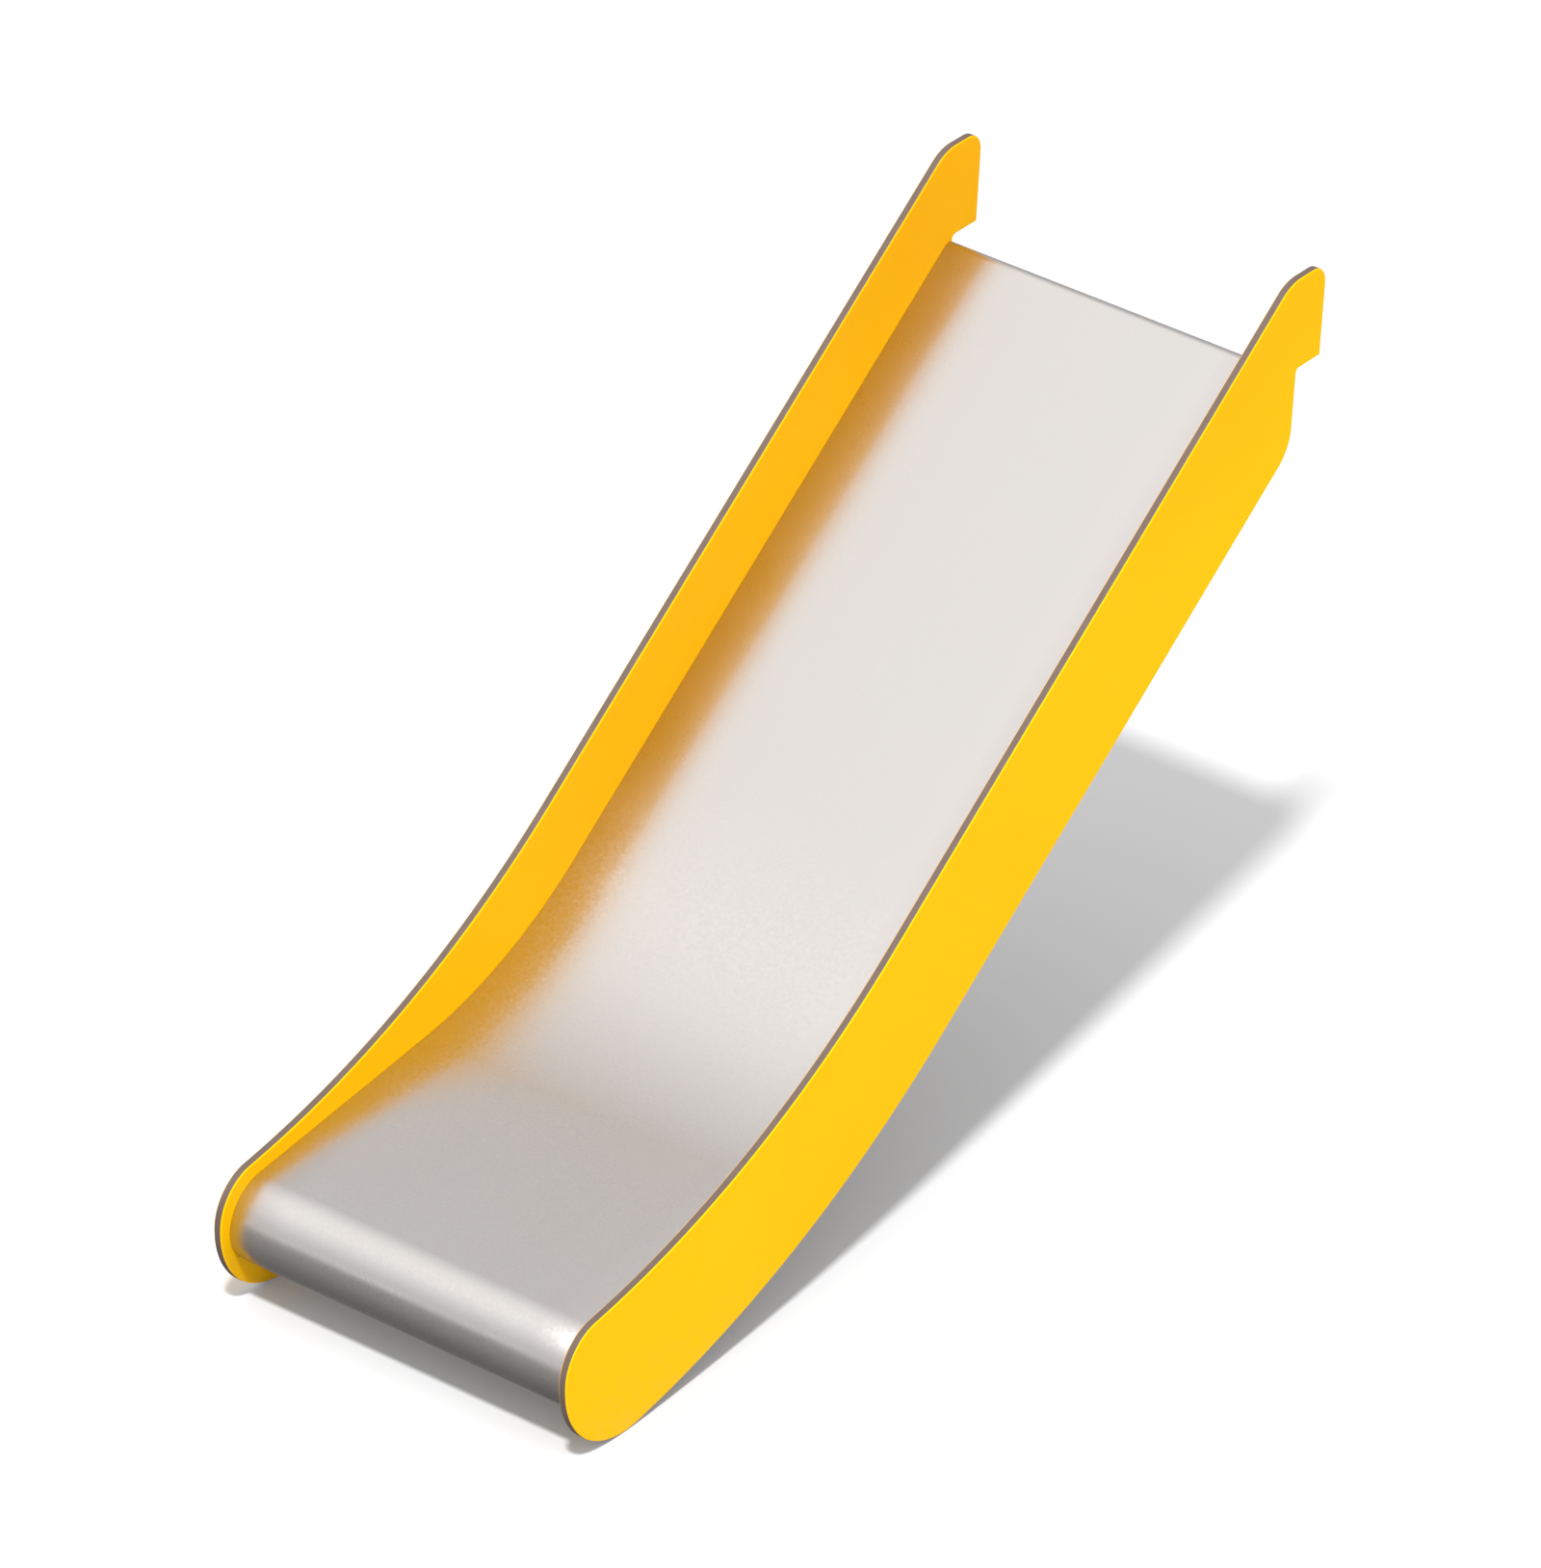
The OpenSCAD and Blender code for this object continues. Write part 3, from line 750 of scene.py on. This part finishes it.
def makeSlideSteel():
    look = slideSteel
    material, tree, shader, place = startMaterial("slideSteel", 1.0)
    sheetPlace = addNode(tree, "ShaderNodeUVMap", uv_map="grain").outputs[0]
    lines = noise(tree, stretched(tree, sheetPlace, (*look["brush"], 1)), 1.0, 3, 0.6)
    longLines = noise(tree, stretched(tree, sheetPlace, (*look["longBrush"], 1)), 1.0, 4, 0.65)
    mottle = noise(tree, place, look["mottle"], 1, 0.5)
    cloud = noise(tree, place, look["cloudScale"], 4, 0.5)
    across = addNode(tree, "ShaderNodeSeparateXYZ", {0: sheetPlace}).outputs[0]
    fromMiddle = addNode(tree, "ShaderNodeMath", {0: across}, operation="ABSOLUTE").outputs[0]
    half, fade = look["trackHalf"], look["trackFade"]
    track = remap(tree, fromMiddle, half + fade, half - fade)
    scratch = remap(tree, longLines, 0.64, 0.74)
    height = addNode(tree, "ShaderNodeSeparateXYZ", {0: place}).outputs[2]
    scuffed = remap(tree, height, look["scuffedTo"] + look["scuffedFade"], look["scuffedTo"])
    mottle = times(tree, remap(tree, mottle, 0.3, 0.7), scuffed)
    shade = plus(tree, times(tree, remap(tree, cloud, 0.3, 0.7), 0.35), times(tree, mottle, 0.14))
    shade = plus(tree, shade, times(tree, remap(tree, lines, 0.3, 0.7), 0.04))
    colour = mixColour(tree, shade, look["colour"], look["dullColour"])
    # Painted shade: the steel is darker and browner beside the side panels, more so higher up
    besidePanel = remap(tree, fromMiddle, look["panelShadeFrom"], look["panelShadeFrom"] + look["panelShadeGrows"])
    panelShade = times(tree, besidePanel, remap(tree, height, *look["panelShadeHeight"], look["panelShadeLow"], 1.0))
    colour = mixColour(tree, panelShade, colour, look["panelShadeColour"])
    tree.links.new(colour, shader.inputs["Base Color"])
    low, high = look["roughness"]
    rough = plus(tree, remap(tree, mottle, 0.0, 1.0, low, high), times(tree, scratch, 0.08))
    rough = plus(tree, rough, times(tree, track, -0.03))
    tree.links.new(plus(tree, rough, remap(tree, cloud, 0.3, 0.7, -0.02, 0.03)), shader.inputs["Roughness"])
    relief = plus(tree, lines, times(tree, longLines, 0.6))
    addBump(tree, shader, relief, look["brushDepth"], 0.08)
    return material


# "spangle" is the flakes per metre and "edge" the width of the rubbed edge

zincCoat = {
    "colour": (0.46, 0.47, 0.48, 1),
    "darkColour": (0.33, 0.34, 0.35, 1),
    "brightColour": (0.70, 0.71, 0.72, 1),
    "roughness": (0.38, 0.58),
    "spangle": 130,
    "edge": 0.0008,
}


def makePlatedSteel(name, look):
    # Any plated or bare metal: flakes, soft clouds and edges rubbed bright
    material, tree, shader, place = startMaterial(name, 1.0)
    wobble = addNode(tree, "ShaderNodeTexNoise", {"Vector": place, "Scale": 60.0}).outputs[1]
    wobbled = mixColour(tree, 0.02, place, wobble)
    cells = addNode(tree, "ShaderNodeTexVoronoi", {"Vector": wobbled, "Scale": look["spangle"]})
    flake = addNode(tree, "ShaderNodeSeparateXYZ", {0: cells.outputs["Color"]}).outputs[0]
    cloud = noise(tree, place, 14, 5, 0.6)
    colour = mixColour(tree, times(tree, flake, 0.55), look["colour"], look["darkColour"])
    colour = mixColour(tree, remap(tree, cloud, 0.45, 0.75, 0.0, 0.55), colour, look["darkColour"])
    edge, rounded = edgeShare(tree, look["edge"], 0.02, 0.25)
    worn = times(tree, edge, remap(tree, noise(tree, place, 180, 3), 0.35, 0.6))
    colour = mixColour(tree, worn, colour, look["brightColour"])
    tree.links.new(colour, shader.inputs["Base Color"])
    low, high = look["roughness"]
    rough = remap(tree, plus(tree, times(tree, flake, 0.4), times(tree, cloud, 0.6)), 0.2, 0.75, low, high)
    tree.links.new(plus(tree, rough, times(tree, worn, -0.12)), shader.inputs["Roughness"])
    relief = plus(tree, times(tree, flake, 0.35), noise(tree, place, 520, 3))
    addBump(tree, shader, relief, 0.00005, 0.55, rounded)
    return material


darkPlating = {
    "colour": (0.30, 0.305, 0.31, 1),
    "darkColour": (0.20, 0.205, 0.215, 1),
    "brightColour": (0.62, 0.62, 0.62, 1),
    "roughness": (0.30, 0.48),
    "spangle": 700,
    "edge": 0.0005,
}
stainlessFixing = {
    "colour": (0.66, 0.65, 0.63, 1),
    "darkColour": (0.50, 0.49, 0.48, 1),
    "brightColour": (0.86, 0.85, 0.83, 1),
    "roughness": (0.20, 0.34),
    "spangle": 900,
    "edge": 0.0004,
}
insertBrass = {
    "colour": (0.60, 0.42, 0.14, 1),
    "darkColour": (0.40, 0.26, 0.09, 1),
    "brightColour": (0.85, 0.66, 0.32, 1),
    "roughness": (0.24, 0.40),
    "spangle": 900,
    "edge": 0.0004,
}

laminate, core, steel = makeYellowLaminate(), makeBoardCore(), makeSlideSteel()
zinc = makePlatedSteel("zincCoat", zincCoat)
finishes = {
    "frame": zinc,
    "plated_fixings": makePlatedSteel("darkPlating", darkPlating),
    "stainless_fixings": makePlatedSteel("stainlessFixing", stainlessFixing),
    "inserts": makePlatedSteel("insertBrass", insertBrass),
}
bedSheet.data.materials.append(steel)
for board in (leftPanel, rightPanel):
    board.data.materials.append(laminate)
    board.data.materials.append(core)
for part in (*crossTubes, frameWelds):
    part.data.materials.append(zinc)
slotOf = {row["node"]: row["material_slot"] for row in frame["record"]["subparts"]}
for name, node in nodes.items():
    if not node.hide_render:
        node.data.materials.clear()
        node.data.materials.append(finishes[slotOf[name]])
print("materials:", len(bpy.data.materials))


# Floor, light and camera

stageLook = {
    "floorSize": 60.0,
    "floorColour": (0.56, 0.56, 0.56, 1),
    "floorGlow": 0.09,
    "floorRoughness": 0.9,
    "floorDrop": 0.0005,        # below the lowest point
    "white": (1.0, 1.0, 1.0, 1),
    "skyTop": (1.0, 1.0, 1.0, 1),
    "skySide": (0.55, 0.56, 0.58, 1),
    "skyBelow": (0.29, 0.285, 0.28, 1),
    "skyUnderfoot": (0.12, 0.12, 0.12, 1),
    "skyBack": (0.62, 0.62, 0.63, 1),
    "skySpan": (0.05, 0.75),    # each span is the start and end of a fade, in the direction's Z or Y
    "skyBackSpan": (0.0, 0.6),
    "skyBelowSpan": (-0.45, -0.95),
    "groundSpan": (0.10, -0.10),
    "bandLowSpan": (-0.07, -0.06),
    "bandHighSpan": (0.06, 0.045),
    "skyStrength": 1.25,
    "sunStrength": 3.6,
    "sunSoft": 5.0,             # apparent size of the sun in degrees
    "sunFrom": (0.225, -0.49, 1.0),
}


def makeStage():
    look = stageLook
    mesh = bpy.data.meshes.new("floor")
    half = look["floorSize"] / 2
    corners = [(-half, -half, 0), (half, -half, 0), (half, half, 0), (-half, half, 0)]
    mesh.from_pydata(corners, [], [(0, 1, 2, 3)])
    floor = bpy.data.objects.new("floor", mesh)
    bpy.context.scene.collection.objects.link(floor)
    material, tree, shader = startMaterial("paleFloor")[:3]
    shader.inputs["Base Color"].default_value = look["floorColour"]
    shader.inputs["Roughness"].default_value = look["floorRoughness"]
    shader.inputs["Specular IOR Level"].default_value = 0.0
    shader.inputs["Emission Color"].default_value = look["white"]
    shader.inputs["Emission Strength"].default_value = look["floorGlow"]
    mesh.materials.append(material)
    floor.location.z = min(cadBox[0].z, 0.0) - look["floorDrop"]
    floor.visible_glossy = False        # the steel mirrors a darker room below the horizon

    world = bpy.data.worlds.new("softStudio")
    bpy.context.scene.world = world
    world.use_nodes = True
    tree = world.node_tree
    background = tree.nodes["Background"]
    direction = addNode(tree, "ShaderNodeTexCoord").outputs["Generated"]
    parts = addNode(tree, "ShaderNodeSeparateXYZ", {0: direction}).outputs
    height = parts[2]
    sky = mixColour(tree, remap(tree, height, *look["skySpan"]), look["skySide"], look["skyTop"])
    darker = mixColour(tree, 1.0, sky, look["skyBack"], "MULTIPLY")
    sky = mixColour(tree, remap(tree, parts[1], *look["skyBackSpan"]), sky, darker)
    deeper = remap(tree, height, *look["skyBelowSpan"])
    below = mixColour(tree, deeper, look["skyBelow"], look["skyUnderfoot"])
    sky = mixColour(tree, remap(tree, height, *look["groundSpan"]), sky, below)
    # A white band at the horizon, where the floor ends
    band = times(tree, remap(tree, height, *look["bandLowSpan"]), remap(tree, height, *look["bandHighSpan"]))
    tree.links.new(mixColour(tree, band, sky, look["white"]), background.inputs[0])
    background.inputs[1].default_value = look["skyStrength"]

    light = bpy.data.lights.new("sun", "SUN")
    light.energy = look["sunStrength"]
    light.angle = radians(look["sunSoft"])
    sun = bpy.data.objects.new("sun", light)
    sun.rotation_mode = "QUATERNION"
    sun.rotation_quaternion = Vector(look["sunFrom"]).to_track_quat("Z", "Y")
    bpy.context.scene.collection.objects.link(sun)


cameraPlace = {
    "position": (7.0909, -9.5970, 7.8992),
    "aim": (-0.0056, 0.5500, 0.5140),
    "roll": 3.2,
    "lens": 272.0,
    "sensor": 36.0,
    "clip": (0.1, 200),
}


def makeCamera():
    data = bpy.data.cameras.new("camera")
    data.lens = cameraPlace["lens"]
    data.sensor_width = cameraPlace["sensor"]
    data.sensor_fit = "AUTO"
    data.clip_start, data.clip_end = cameraPlace["clip"]
    camera = bpy.data.objects.new("camera", data)
    camera.location = cameraPlace["position"]
    look = Vector(cameraPlace["aim"]) - Vector(cameraPlace["position"])
    turn = look.to_track_quat("-Z", "Y").to_matrix() @ Matrix.Rotation(radians(cameraPlace["roll"]), 3, "Z")
    camera.rotation_mode = "QUATERNION"
    camera.rotation_quaternion = turn.to_quaternion()
    bpy.context.scene.collection.objects.link(camera)
    bpy.context.scene.camera = camera


makeStage()
makeCamera()
bpy.context.scene.view_settings.view_transform = "Standard"
print("stage and camera ready")

bpy.context.view_layer.update()
